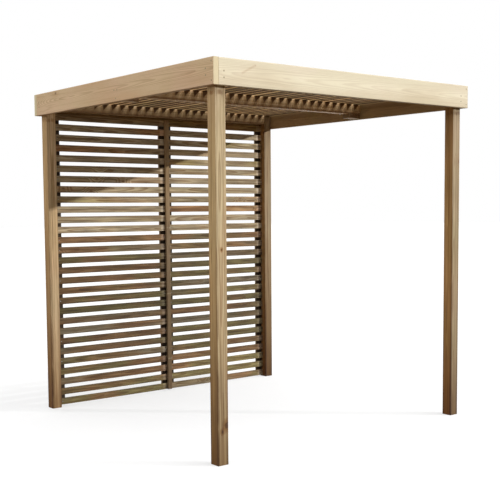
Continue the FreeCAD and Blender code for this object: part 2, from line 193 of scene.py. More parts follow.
class PergolaTimberSettings(bpy.types.PropertyGroup):
    """Sizes and colours of the timbers."""
    arris: length_setting("Arris", "Rounding of a timber's long edges", 0.0025)
    end_chamfer: length_setting("End chamfer", "Easing of a timber's sawn ends", 0.001)
    skin_depth: length_setting("Skin depth", "How far a planed face may lie under its true plane", 0.0004)
    check_width: length_setting("Check width", "Opening of a drying check in a post", 0.0024)
    check_depth: length_setting("Check depth", "Depth of a drying check in a post", 0.007)
    slat_count: count_setting("Wall slats", "Slats in each panel of the wall", 29)
    slat_width: length_setting("Slat width", "Slats of the wall, edge to edge", slat_width())
    slat_wander: length_setting("Slat wander", "How far a slat strays from its true line", 0.0012)
    ring_spacing: length_setting("Ring spacing", "One growth ring to the next", 0.0048)
    fascia_pale: colour_setting("Pale fascia", "Front fascia board", (0.70, 0.627, 0.487))
    fascia_tan: colour_setting("Tan fascia", "Left fascia board", (0.70, 0.505, 0.335))
    post_tan: colour_setting("Tan post", "Posts", (0.545, 0.42, 0.27))
    fascia_brown: colour_setting("Brown fascia", "Right and back fascia boards", (0.50, 0.342, 0.18))
    fascia_end: colour_setting("Fascia end", "Sawn ends of the fascia boards", (0.73, 0.645, 0.42))
    # Paleness of each post: partly its own tone, partly painted light that evens out how each post is lit
    post_tone_and_painted_light: bpy.props.FloatVectorProperty(
        name="Post paleness", description="Paleness of each post, in the order of their names", size=4,
        default=(1.0, -0.55, 0.0, 0.05))
    slat_brown: colour_setting("Brown slat", "Brownest slats", (0.185, 0.108, 0.050))
    slat_olive: colour_setting("Olive slat", "Greenest slats", (0.150, 0.122, 0.050))
    slat_grey: colour_setting("Grey slat", "Greyest slats", (0.200, 0.164, 0.108))
    batten_brown: colour_setting("Brown batten", "Battens of the wall", (0.20, 0.13, 0.075))
    strip_brown: colour_setting("Brown strip", "Cover strip of the wall", (0.31, 0.215, 0.12))
    # Painted light: the upper slats of each panel are paler, those next below them a little; the lowest are paler too
    painted_light_slats: count_setting("Pale slats", "Slats of the paler batch at the top of each panel", 12)
    painted_light_lift: number_setting("Paleness", "How much paler the upper batch of slats is", 3.7)
    half_painted_light_slats: count_setting("Half-pale slats", "Slats next below the paler batch", 2)
    low_slats: count_setting("Low slats", "Slats of the paler batch at the foot of each panel", 3)
    low_lift: number_setting("Low paleness", "How much paler the lowest and the half-pale slats are", 1.0)
    # Heights of the reddish drip-shaped band under the fascia boards
    drip_band_low: length_setting("Stain, low", "Lower edge of the drips on the posts", 2.002)
    drip_band_high: length_setting("Stain, high", "Upper edge of the drips on the posts", 2.034)
    foot_knot: place_setting("Foot knot", "Knot low on the front left post", (-0.953, -1.0105, 0.219))
    low_knot: place_setting("Small foot knot", "Smaller knot beside the foot knot", (-0.981, -1.0105, 0.188))
    eye_knot: place_setting("Eye knot", "Knot half way up the front left post", (-0.976, -1.0105, 1.181))
    knot_radius: bpy.props.FloatVectorProperty(
        name="Knot radii", description="Radii of the three knots of the front left post", size=3,
        default=(0.018, 0.010, 0.007), unit="LENGTH")
    scuff_start: place_setting("Scuff, low", "Lower end of the scuff on the front fascia", (-0.865, -1.0455, 2.118))
    scuff_end: place_setting("Scuff, high", "Upper end of the scuff on the front fascia", (-0.762, -1.0455, 2.172))
    fascia_bend: number_setting("Grain bend", "Bend of the grain at the left fascia's back end, per metre", 0.14)
    # The fingers on the joists are painted sunlight and shade
    finger_lean: number_setting("Finger lean", "Sideways lean of the bleached fingers on the joists", 0.45)
    finger_spread: number_setting("Finger spread", "Widening of a finger with depth, in slat pitches per metre", 8.5)
    knot_brown: colour_setting("Knot", "Heart of a knot", (0.20, 0.11, 0.05))


class PergolaMetalSettings(bpy.types.PropertyGroup):
    """Colours of the fasteners."""
    screw_olive: colour_setting("Screw coating", "Dull olive coating of the screws", (0.34, 0.27, 0.155))
    screw_bright: colour_setting("Rubbed screw", "Rubbed places of the screws", (0.42, 0.35, 0.22))
    nail_grey: colour_setting("Galvanising", "Dull grey of the nails", (0.40, 0.40, 0.39))
    nail_bright: colour_setting("Rubbed nail", "Rubbed places of the nails", (0.55, 0.55, 0.54))


class PergolaStageSettings(bpy.types.PropertyGroup):
    """Floor, light and camera."""
    floor_side: length_setting("Floor", "Side of the square floor", 120.0)
    floor_pale: colour_setting("Floor colour", "Floor as the camera sees it", (0.3, 0.3, 0.3))
    floor_bounce: colour_setting("Floor bounce", "Floor as the object is lit by it", (0.062, 0.036, 0.014))
    floor_glow: number_setting("Floor white", "White added to the floor in the camera's view", 0.62)
    sky_low: number_setting("Sky at eye level", "Strength of the light from all round, near the floor", 0.09)
    sky_high: number_setting("Sky overhead", "Strength of the light from all round, overhead", 1.2)
    key_strength: number_setting("Key light", "Strength of the key light", 2.65)
    key_angles: angles_setting("Key light angles", 0.7, 47, 13.17)
    top_strength: number_setting("Top light", "Strength of the overhead light", 2.0)
    top_angles: angles_setting("Top light angles", 35, 42, 55)
    side_strength: number_setting("Side light", "Strength of the soft light from the left", 1.6)
    side_angles: angles_setting("Side light angles", 60, -95, 25)
    back_strength: number_setting("Back light", "Strength of the soft light from behind", 1.1)
    back_angles: angles_setting("Back light angles", 60, 170, 30)
    camera_place: place_setting("Camera", "Place of the camera", (-4.0128, -5.0481, 1.4042))
    camera_yaw: bpy.props.FloatProperty(
        name="Yaw", description="Turn from the depth axis towards the right", default=math.radians(38.669),
        subtype="ANGLE")
    camera_pitch: bpy.props.FloatProperty(
        name="Pitch", description="Tilt downwards", default=math.radians(4.383), subtype="ANGLE")
    camera_roll: bpy.props.FloatProperty(
        name="Roll", description="Turn about the line of sight", default=math.radians(0.41), subtype="ANGLE")
    camera_lens: bpy.props.FloatProperty(
        name="Lens", description="Focal length on a 36 mm sensor", default=67.67, unit="CAMERA")
    camera_shift: number_setting("Shift", "Upward shift of the picture", 0.06)


class Wire:
    """A shader socket in an expression: the operators add Math nodes, and node adds any other kind."""

    def __init__(self, tree, socket=None):
        self.tree = tree
        self.socket = socket

    def node(self, kind, settings, inputs, output=0):
        """A new node with its settings, then its input values or links; the result is one of its outputs."""
        made = self.tree.nodes.new(kind)
        for name, value in settings.items():
            setattr(made, name, value)
        for key, value in inputs.items():
            if isinstance(value, Wire):
                self.tree.links.new(value.socket, made.inputs[key])
            else:
                made.inputs[key].default_value = value
        return Wire(self.tree, made.outputs[output] if made.outputs else None)

    def sibling(self, output):
        """Another output of the node that this wire comes from."""
        return Wire(self.tree, self.socket.node.outputs[output])

    def math(self, operation, first, second):
        """A Math node with two values or links."""
        return self.node("ShaderNodeMath", {"operation": operation}, {0: first, 1: second})

    def __add__(self, other):
        return self.math("ADD", self, other)

    def __radd__(self, other):
        return self.math("ADD", other, self)

    def __sub__(self, other):
        return self.math("SUBTRACT", self, other)

    def __rsub__(self, other):
        return self.math("SUBTRACT", other, self)

    def __mul__(self, other):
        return self.math("MULTIPLY", self, other)

    def __rmul__(self, other):
        return self.math("MULTIPLY", other, self)

    def __truediv__(self, other):
        return self.math("DIVIDE", self, other)

    def __rtruediv__(self, other):
        return self.math("DIVIDE", other, self)

    def __pow__(self, other):
        return self.math("POWER", self, other)

    def __rpow__(self, other):
        return self.math("POWER", other, self)

    def __mod__(self, other):
        return self.math("FLOORED_MODULO", self, other)

    def __rmod__(self, other):
        return self.math("FLOORED_MODULO", other, self)


def parts(vector):
    """The three numbers of a vector."""
    first = vector.node("ShaderNodeSeparateXYZ", {}, {0: vector}, "X")
    return first, first.sibling("Y"), first.sibling("Z")


def rise(value, low, high):
    """A smooth step: 0 up to the low value, 1 from the high one."""
    return value.node("ShaderNodeMapRange", {"interpolation_type": "SMOOTHSTEP"},
                      {"Value": value, "From Min": low, "From Max": high})


def blend(factor, first, second, mode="MIX"):
    """The first colour turning into the second as the factor goes from 0 to 1."""
    def colour(value):
        return value if isinstance(value, Wire) else (*value, 1.0)
    return factor.node("ShaderNodeMix", {"data_type": "RGBA", "blend_type": mode},
                       {0: factor, 6: colour(first), 7: colour(second)}, 2)


def tinted(share, colour, tint):
    """The colour multiplied by a tint, as far as the share says."""
    return blend(share, colour, tint, "MULTIPLY")


def brightened(colour, factor):
    """The colour with its brightness multiplied by a factor."""
    return colour.node("ShaderNodeHueSaturation", {}, {"Color": colour, "Value": factor})


def stretched(vector, scale):
    """The vector multiplied along its three axes."""
    return vector.node("ShaderNodeVectorMath", {"operation": "MULTIPLY"}, {0: vector, 1: scale})


def distance(vector, point):
    """Distance of the vector from a point."""
    return vector.node("ShaderNodeVectorMath", {"operation": "DISTANCE"}, {0: vector, 1: point}, "Value")


def noise(vector, scale, detail=2.0):
    """Smooth noise between 0 and 1 in a stretched space."""
    return vector.node("ShaderNodeTexNoise", {}, {"Vector": stretched(vector, scale), "Scale": 1.0, "Detail": detail})


def facing(wire, axis):
    """How far the surface looks along an axis of the frame, from -1 to 1."""
    return parts(wire.node("ShaderNodeNewGeometry", {}, {}, "Normal"))[axis]


def carried(wire, name, output="Vector"):
    """A value that the mesh carries at its points."""
    return wire.node("ShaderNodeAttribute", {"attribute_name": name}, {}, output)


def nearness(height):
    """How near the floor a height is: 1 on the floor, falling evenly to 0 where the posts' darkening ends."""
    return 1.0 - height.math("MINIMUM", height / DARKENING_REACH, 1.0)


def new_material(name):
    """A material with an empty tree: its shader's inputs are given to finish_material."""
    material = bpy.data.materials.new(name)
    material.use_nodes = True
    material.node_tree.nodes.clear()
    return material, Wire(material.node_tree)


def finish_material(wire, inputs):
    """The shader and the material's output."""
    shader = wire.node("ShaderNodeBsdfPrincipled", {}, inputs)
    wire.node("ShaderNodeOutputMaterial", {}, {"Surface": shader})


def drip_band(place, colour):
    """Reddish drip-shaped marks under the fascia boards: streaks of noise in a band of heights with ragged edges."""
    timber = bpy.context.scene.pergola_timber
    height = parts(place)[UP] + (noise(place, (90.0, 90.0, 4.0)) - 0.5) * DRIP_RAGGED
    band = rise(height, timber.drip_band_low, timber.drip_band_low + DRIP_EDGE)
    band = band * (1.0 - rise(height, timber.drip_band_high - DRIP_EDGE, timber.drip_band_high))
    streaks = rise(noise(place, (150.0, 150.0, 10.0)), 0.40, 0.62)
    return tinted(band * streaks, colour, DRIP_TINT)


def post_knots(place, colour):
    """Three knots on one post: dark within a ragged radius about each middle, with a browner ring round it."""
    timber = bpy.context.scene.pergola_timber
    ragged = (noise(place, (110.0, 110.0, 60.0)) - 0.5) * KNOT_RAGGED
    for middle, radius in zip((timber.foot_knot, timber.low_knot, timber.eye_knot), timber.knot_radius):
        away = distance(stretched(place, KNOT_STRETCH), middle * KNOT_STRETCH) + ragged
        colour = tinted(1.0 - rise(away, radius, radius * 2.0), colour, KNOT_RING_TINT)
        colour = tinted(1.0 - rise(away, radius * 0.4, radius), colour, KNOT_HEART_TINT)
    return colour


def painted_shade_sides(place, colour):
    """Painted shade: faces not looking to the front are browner, more so near the floor, each post in its own way."""
    side = 1.0 - rise(facing(place, DEEP), -0.5, -0.9)
    x, y, z = parts(place)
    right = rise(x, *RIGHT_HALF)
    back = rise(y, *BACK_HALF)
    colour = tinted(side, colour, PAINTED_SHADE_SIDE_TINT)
    # Painted light: the sides of the right-hand posts are lighter and redder
    colour = tinted(side * right, colour, PAINTED_LIGHT_RIGHT_SIDE_TINT)
    # Painted shade: the back left post's sides are darker
    colour = tinted(side * back * (1.0 - right), colour, PAINTED_SHADE_BACK_LEFT_TINT)
    # Painted shade towards the floor, on the posts' sides and on the whole back right post
    return tinted(place.math("MAXIMUM", side, right * back) * nearness(z) ** 1.5, colour, PAINTED_SHADE_LOW_SIDE_TINT)


def painted_sun_fingers(place, colour):
    """Painted sunlight and shade on the joists' fronts: pale below the roof slats' gaps, dark under each slat.

    A finger starts narrow at the joist's top in the middle of a gap, leans to the left and widens downwards until the
    fingers meet. The distance from its middle line, in slat pitches, is compared with a width that grows with depth.
    The fingers' tips are a painted highlight, and the foot of each front has painted shade.
    """
    timber = bpy.context.scene.pergola_timber
    first_low, first_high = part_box(ROOF_SLATS[0])
    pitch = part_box(ROOF_SLATS[1])[0].x - first_low.x
    x, _, z = parts(place)
    depth = first_low.z - z
    leaning = (x + depth * timber.finger_lean - (first_low.x + first_high.x) / 2) / pitch
    aside = leaning % 1.0 - 0.5
    aside = aside.math("ABSOLUTE", aside, 0.0) - depth * timber.finger_spread
    aside = aside + (noise(place, (40.0, 40.0, 40.0)) - 0.5) * FINGER_RAGGED
    finger = 1.0 - rise(aside, *FINGER_EDGE)
    front = rise(facing(place, DEEP), *LOOKS_TO_FRONT)
    # Painted shade under each roof slat
    colour = tinted((1.0 - finger) * front, colour, PAINTED_SHADE_NOTCH_TINT)
    # Painted highlight at the fingers' tips
    tip = finger * (1.0 - rise(depth, *PAINTED_LIGHT_TIP_DEPTH)) * front
    colour = brightened(colour, tip * PAINTED_LIGHT_TIP_LIFT + 1.0)
    # Painted shade at the foot of the joists' fronts
    return tinted(rise(depth, *PAINTED_SHADE_JOIST_FOOT_DEPTH) * front, colour, PAINTED_SHADE_JOIST_FOOT_TINT)


def painted_shade_below(place, colour):
    """Painted shade on undersides, dark and warm: faces that look down."""
    return tinted(rise(facing(place, UP), *LOOKS_DOWN), colour, PAINTED_SHADE_UNDERSIDE_TINT)


def painted_light_upper(place, colour):
    """Painted light: a paler upper part, above the middle of the wall."""
    return brightened(colour, rise(parts(place)[UP], *PAINTED_LIGHT_HEIGHTS) * PAINTED_LIGHT_HEIGHT_LIFT + 1.0)


def painted_light_ends(place, colour):
    """Painted light: paler, greyer right-hand ends of the wall slats of both panels, over the battens."""
    across = parts(place)[ACROSS]
    ends = rise(across, *INNER_END_LEFT) * (1.0 - rise(across, *INNER_END_RIGHT)) + rise(across, *OUTER_END_LEFT)
    return colour.node("ShaderNodeHueSaturation", {}, {
        "Color": colour, "Saturation": 1.0 - ends * PAINTED_LIGHT_END_GREYING, "Value": ends * PAINTED_LIGHT_END_LIFT + 1.0})


def painted_shade_front(place, colour):
    """Painted shade on the fronts of the battens behind the slats: faces that look to the front."""
    return tinted(rise(facing(place, DEEP), *LOOKS_TO_FRONT), colour, PAINTED_SHADE_FRONT_TINT)


def scuff(place, colour):
    """A slanting scuff on a fascia board: the distance from a line between two points, with a dot at its upper end."""
    timber = bpy.context.scene.pergola_timber
    x, _, z = parts(place)
    start, end = Vector(timber.scuff_start), Vector(timber.scuff_end)
    run = end - start
    length = run.length
    along = ((x - start.x) * run.x + (z - start.z) * run.z) / length
    aside = ((x - start.x) * run.z - (z - start.z) * run.x) / length
    line = 1.0 - rise(aside.math("ABSOLUTE", aside, 0.0), *SCUFF_EDGE)
    line = line * rise(along, 0.0, SCUFF_FADE) * (1.0 - rise(along, length - SCUFF_STOP, length))
    dot = (1.0 - rise(distance(place, end), *SCUFF_DOT)) * SCUFF_DOT_SHARE
    return tinted(line.math("MAXIMUM", line * SCUFF_SHARE, dot), colour, SCUFF_TINT)


def knots(grain, skin, share, end_cut):
    """Knots in a share of the cells of a pattern over the skin, as two masks: ragged hearts, and swirls round them."""
    cell = grain.node("ShaderNodeTexVoronoi", {"voronoi_dimensions": "2D"},
                      {"Vector": stretched(skin, KNOT_CELLS), "Scale": 1.0}, "Distance")
    chosen = rise(parts(cell.sibling("Color"))[0], 1.0 - share, 1.02 - share) * (1.0 - end_cut)
    ragged = cell + (noise(grain, (60.0, 200.0, 200.0)) - 0.5) * 0.03
    heart = (1.0 - rise(ragged, 0.03, 0.075)) * chosen
    swirl = (1.0 - rise(cell, 0.05, 0.36)) * chosen
    return heart, swirl


def late_wood(grain, swirl):
    """The dark part of each growth ring: the distance from the pith in ring spacings, wavering and bent by knots."""
    timber = bpy.context.scene.pergola_timber
    _, across, deep = parts(grain)
    wobble = (noise(grain, (1.3, 9.0, 9.0)) - 0.5) * 0.018 + (noise(grain, (7.0, 70.0, 70.0)) - 0.5) * 0.0022
    radius = (across * across + deep * deep) ** 0.5 + wobble + swirl * SWIRL_BEND
    phase = (radius / timber.ring_spacing) % 1.0
    return rise(phase, 0.25, 0.85) * (1.0 - rise(phase, 0.90, 1.0))


def timber_material(name, colours, end_colour, late_share, streak_share, knot_share, foot_share=0.0, painted_light_below=0.0,
                    roughness=0.78, mottle_share=0.0, arris_share=0.0, marks=()):
    """Planed softwood: growth rings about the pith, knots, blotches, streaks, fibres, sawn ends and darker feet.

    The board's own tone, with slow patches along it, chooses between the three colours. The shares say how strongly
    the dark part of each ring, the long streaks, the darkening towards the floor, the fine mottling and the soiled
    edges show, and what part of the cells over the surface hold a knot. Faces that look down get painted light: they
    are paler by the share given for them. Marks are functions that change the colour at single places; some of them
    paint light or shade.
    """
    timber = bpy.context.scene.pergola_timber
    first, second, third = colours
    material, wire = new_material(name)
    grain = carried(wire, "grain")
    end_cut = carried(wire, "end_cut", "Fac")
    place = wire.node("ShaderNodeTexCoord", {}, {}, "Object")
    hue, light, wear = parts(carried(wire, "tone"))
    heart, swirl = knots(grain, carried(wire, "skin"), knot_share, end_cut)
    late = late_wood(grain, swirl)
    blotch = noise(grain, (1.1, 7.0, 7.0), 3.0)
    patch = noise(grain, (2.6, 4.0, 4.0), 2.0)
    fibre = noise(grain, (22.0, 700.0, 700.0), 2.0)
    streak = noise(grain, (0.8, 90.0, 90.0), 2.0)
    mottle = noise(grain, (5.0, 45.0, 45.0), 3.0) - 0.5

    colour = blend(rise(hue + (patch - 0.5) * 3.0, 0.1, 0.9), first, second)
    colour = blend(rise(wear + (blotch - 0.5) * 2.4, 0.45, 1.0), colour, third)
    colour = tinted(late * late_share, colour, LATE_TINT)
    colour = tinted(rise(blotch, 0.42, 0.72) * 0.55, colour, BLOTCH_TINT)
    colour = tinted(rise(streak, 0.48, 0.75) * streak_share, colour, STREAK_TINT)
    colour = tinted(fibre * 0.22, colour, FIBRE_TINT)
    colour = brightened(colour, (light * 0.44 + 0.80) * (mottle * mottle_share + 1.0))
    colour = tinted(swirl * 0.30, colour, SWIRL_TINT)
    colour = blend(heart * 0.8, colour, timber.knot_brown)
    colour = blend(end_cut * 0.75, colour, end_colour)

    upward = facing(wire, UP)
    colour = tinted(rise(upward, 0.2, 0.8), colour, TOP_TINT)
    # Painted light: faces that look down are paler
    colour = brightened(colour, rise(upward, *LOOKS_DOWN) * painted_light_below + 1.0)
    low = nearness(parts(place)[UP])
    colour = tinted(low ** 1.8 * foot_share, colour, FOOT_TINT)
    soiled = carried(wire, "rounded", "Fac") * rise(noise(place, (9.0, 9.0, 4.0)), 0.30, 0.55)
    colour = tinted(soiled * low ** 0.7 * arris_share, colour, ARRIS_TINT)
    for mark in marks:
        colour = mark(place, colour)

    relief = late * 0.25 + fibre * 0.35 - heart * 0.3
    bump = wire.node("ShaderNodeBump", {}, {"Strength": 0.35, "Distance": 0.0008, "Height": relief})
    finish_material(wire, {
        "Base Color": colour,
        "Roughness": roughness - late * 0.10 - heart * 0.15 + blotch * 0.08,
        "Normal": bump,
        "Specular IOR Level": 0.3,
    })
    return material


def metal_material(name, colour, bright, metallic, roughness):
    """Plated steel: mottled plating, with rubbed places that are brighter and smoother."""
    material, wire = new_material(name)
    place = wire.node("ShaderNodeTexCoord", {}, {}, "Object")
    mottle = noise(place, (420.0, 420.0, 420.0), 3.0)
    rubbed = rise(noise(place, (160.0, 160.0, 160.0)), 0.52, 0.70)
    finish_material(wire, {
        "Base Color": blend(rubbed * 0.6, blend(mottle, colour, [c * 0.7 for c in colour]), bright),
        "Roughness": roughness + mottle * 0.2 - rubbed * 0.12,
        "Metallic": metallic,
    })
    return material


def section_outline(half_width, half_height, check_places):
    """Outline of a planed section, counter-clockwise, as points and outward normals.

    Four quarter circles of the arris radius about the corners, joined by four flats. On each flat two columns of points
    stand near either end, and three stand close together where a check may open: its two lips with its bottom between.
    """
    timber = bpy.context.scene.pergola_timber
    corner_turn = np.arange(4)[:, None] * math.pi / 2
    angle = corner_turn + np.linspace(0, math.pi / 2, ARC_COLUMNS)[None, :]
    arc_normal = np.stack([np.cos(angle), np.sin(angle)], axis=-1)
    sign = np.sign(np.stack([np.cos(corner_turn + math.pi / 4), np.sin(corner_turn + math.pi / 4)], axis=-1))
    centre = sign * (np.array([half_width, half_height]) - timber.arris)
    arc = centre + timber.arris * arc_normal
    start = arc[:, -1:]
    run = np.roll(arc[:, :1], -1, axis=0) - start
    lip = timber.check_width / 2 / np.linalg.norm(run, axis=-1)
    ends = np.tile(FLAT_COLUMNS, (4, 1))
    share = np.concatenate([ends, check_places - lip, check_places, check_places + lip, 1 - ends[:, ::-1]], axis=1)
    flat = start + share[..., None] * run
    flat_normal = np.repeat(arc_normal[:, -1:], share.shape[1], axis=1)
    points = np.concatenate([arc, flat], axis=1).reshape(-1, 2)
    normals = np.concatenate([arc_normal, flat_normal], axis=1).reshape(-1, 2)
    return points, normals


def wave(rng, places, shortest, longest, count=4):
    """Sum of a few sines of random length and phase along the places, scaled to lie between 0 and 1."""
    length = np.exp(rng.uniform(math.log(shortest), math.log(longest), count))
    phase = rng.uniform(0, 2 * math.pi, count)
    total = np.sin(2 * math.pi * np.asarray(places)[..., None] / length + phase).sum(axis=-1)
    return 0.5 + 0.5 * total / count


def planed_rows(rng, rows, outline, normal):
    """The outline at every row, moved inward by a slow wave over the planed faces, and at both ends by the chamfer."""
    timber = bpy.context.scene.pergola_timber
    around = np.linspace(0, 1, len(outline))
    inward = np.tile(timber.skin_depth * wave(rng, around, shortest=0.3, longest=1.0), (len(rows), 1))
    inward *= wave(rng, rows, shortest=0.15, longest=0.9)[:, None]
    inward += timber.skin_depth * 0.3
    inward[[0, -1]] += timber.end_chamfer
    return outline[None] - inward[..., None] * normal[None]


def open_checks(rng, section, rows, normal, count):
    """Drying checks in the first flats of a section, which is changed in place.

    A check draws its bottom column inward by its depth and its lips apart by its width, both times the square root of
    a half sine over the check's length, and strays sideways by a slow wave. On a flat without a check the lips close.
    """
    timber = bpy.context.scene.pergola_timber
    mark = np.tile(CORNER_MARKS, 4)
    tangent = np.stack([-normal[:, 1], normal[:, 0]], axis=-1)
    flats = np.repeat(np.arange(4), len(CORNER_MARKS))
    for flat in range(4):
        is_open = flat < count
        begin, end = np.sort(rng.uniform(0.04, 0.96, 2)) * rows[-1]
        swing = (rng.uniform(0.3, 1.0) * wave(rng, rows, shortest=0.2, longest=0.8) - 0.5) * CHECK_SWING
        gape = np.sqrt(np.clip(np.sin(math.pi * (rows - begin) / max(end - begin, SHORTEST_CHECK)), 0, 1))
        gape = np.where((rows > begin) & (rows < end), gape, 0.0) * is_open
        column = (flats == flat) & (mark != PLAIN)
        bottom = column & (mark == BOTTOM)
        section[:, column] += (swing * is_open)[:, None, None] * tangent[None, column]
        close = (gape - 1)[:, None] * timber.check_width / 2 * mark[column][None]
        section[:, column] += close[..., None] * tangent[None, column] * LIP_CLOSING
        section[:, bottom] -= (gape * timber.check_depth)[:, None, None] * normal[None, bottom]


def pith_line(rng, width, height, heart):
    """The pith's place and slope: in the section where heart is true, and outside its broad face where it isn't.

    The place is drawn in shares of the section, and its way out of the broad face in metres.
    """
    if heart:
        pith = rng.uniform(-0.25, 0.25, 2) * min(width, height)
        slope = rng.uniform(-0.004, 0.004, 2)
        return pith, slope
    broad = int(width < height)
    pith = rng.uniform(-0.3, 0.3, 2) * np.array([width, height])
    pith[1 - broad] += rng.choice([-1, 1]) * rng.uniform(0.02, 0.07)
    slope = np.zeros(2)
    slope[1 - broad] = rng.uniform(-0.022, 0.022)
    slope[broad] = rng.uniform(-0.006, 0.006)
    return pith, slope


def board_faces(rows, columns):
    """Four-sided faces between a board's rows of points, and a fan of triangles about the pole at each end."""
    row, column = np.meshgrid(np.arange(rows - 1), np.arange(columns), indexing="ij")
    here = (row * columns + column).ravel()
    beside = (row * columns + (column + 1) % columns).ravel()
    quads = np.stack([here, beside, beside + columns, here + columns], axis=-1)
    rim = np.arange(columns)
    after = np.roll(rim, -1)
    last = (rows - 1) * columns
    pole = np.full(columns, rows * columns)
    fans = np.concatenate([np.stack([pole, after, rim], axis=-1),
                           np.stack([pole + 1, last + rim, last + after], axis=-1)])
    return quads, fans


def board(low, high, axis, seed, heart, stations=40, checks=0, wander=0.0, lift=0.0, bend=0.0):
    """One planed timber as a surface: its outline carried along its length, closed by two fans.

    Wander shifts the whole section sideways along half a sine. The pith runs parallel to the length with a slight
    slope, and bend curves it away by the square of the way along the last part of the length. Lift makes the tone paler
    and greyer; on the upper wall slats it is painted light, and on the posts partly so. With its points and faces, a
    board has values at its points: the place in the grain, measured from the pith, the place on the unrolled skin, the
    tone, the sawn ends and the rounded edges.
    """
    timber = bpy.context.scene.pergola_timber
    rng = np.random.default_rng(seed)
    low = np.array(low)
    order = [axis, (axis + 1) % 3, (axis + 2) % 3]
    length, width, height = (np.array(high) - low)[order]
    outline, normal = section_outline(width / 2, height / 2, rng.uniform(0.36, 0.64, (4, 1)))
    rows = np.concatenate([[0.0], np.linspace(timber.end_chamfer, length - timber.end_chamfer, stations), [length]])
    section = planed_rows(rng, rows, outline, normal)
    open_checks(rng, section, rows, normal, checks)
    bow = np.sin(math.pi * rows / length)[:, None] * rng.uniform(-1, 1, 2) * wander
    section = section + (bow + rng.uniform(-0.5, 0.5, 2) * wander)[:, None]

    count, columns = section.shape[:2]
    local = np.concatenate([np.broadcast_to(rows[:, None, None], (count, columns, 1)), section], axis=-1).reshape(-1, 3)
    local = np.concatenate([local, [[0.0, *section[0].mean(0)], [length, *section[-1].mean(0)]]])
    pith, slope = pith_line(rng, width, height, heart)
    offset = rng.uniform(0, 40)
    grain = local.copy()
    grain[:, 1:] -= pith + slope * (local[:, :1] - length / 2)
    grain[:, 0] += offset
    grain[:, 2 - int(width < height)] += bend * np.clip(local[:, 0] - BEND_START * length, 0, None) ** 2
    steps = np.linalg.norm(np.diff(outline, axis=0, append=outline[:1]), axis=-1)
    around = np.concatenate([[0.0], np.cumsum(steps)[:-1]])
    skin = np.stack([local[:, 0] + offset, np.append(np.tile(around, count), [0, 0]), 0 * local[:, 0]], axis=-1)
    end_cut = np.zeros(len(local))
    end_cut[:columns] = 1.0
    end_cut[-columns - 2:] = 1.0
    tone = np.tile(rng.uniform(0, 1, 3) + np.array([0.0, lift, lift / 10]), (len(local), 1))

    place = np.empty_like(local)
    place[:, order] = local + np.array([0.0, width / 2, height / 2])
    place += low
    quads, fans = board_faces(count, columns)
    return {"place": place, "quads": quads, "fans": fans, "grain": grain, "skin": skin, "tone": tone,
            "end_cut": end_cut, "rounded": np.append(np.tile(CORNER_SOILED, 4 * count), [0.0, 0.0])}


def timber_piece(node, boards, material):
    """One mesh from one or more boards, standing for a CAD node."""
    start = np.cumsum([0] + [len(each["place"]) for each in boards[:-1]])
    quads = np.concatenate([each["quads"] + first for each, first in zip(boards, start)])
    fans = np.concatenate([each["fans"] + first for each, first in zip(boards, start)])
    mesh = bpy.data.meshes.new(f"timber_{node}")
    mesh.from_pydata(np.concatenate([each["place"] for each in boards]).tolist(), [], quads.tolist() + fans.tolist())
    for name in ("grain", "skin", "tone"):
        values = np.concatenate([each[name] for each in boards]).astype(np.float32)
        mesh.attributes.new(name, "FLOAT_VECTOR", "POINT").data.foreach_set("vector", values.ravel())
    for name in ("end_cut", "rounded"):
        values = np.concatenate([each[name] for each in boards]).astype(np.float32)
        mesh.attributes.new(name, "FLOAT", "POINT").data.foreach_set("value", values)
    mesh.shade_smooth()
    mesh.set_sharp_from_angle(angle=SHARP_ANGLE)
    mesh.materials.append(material)
    piece = bpy.data.objects.new(f"timber_{node}", mesh)
    bpy.context.scene.collection.objects.link(piece)
    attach(piece, "root")
    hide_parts(node)


class PERGOLA_OT_posts(bpy.types.Operator):
    """Square posts cut with the heart in them, so they have opened in drying checks"""
    bl_idname = "pergola.posts"
    bl_label = "Posts"

    def execute(self, context):
        timber = context.scene.pergola_timber
        tan = np.array(timber.post_tan)
        colours = (tan, tan * (0.94, 0.98, 0.92), tan * (1.06, 1.02, 0.96))
        # The posts carry painted shade and light on their sides
        material = timber_material("post_timber", colours, tan * END_SHADE, late_share=0.6, streak_share=0.85,
                                   knot_share=0.06, foot_share=1.0, mottle_share=0.5, arris_share=0.9,
                                   marks=(painted_shade_sides, drip_band, post_knots))
        for number, node in enumerate(POSTS):
            low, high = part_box(node)
            # Each post's paleness is partly painted light
            shape = board(low, high, UP, POST_SEED + number, heart=True, stations=110, checks=3,
                          lift=timber.post_tone_and_painted_light[number])
            timber_piece(node, [shape], material)
        return {"FINISHED"}


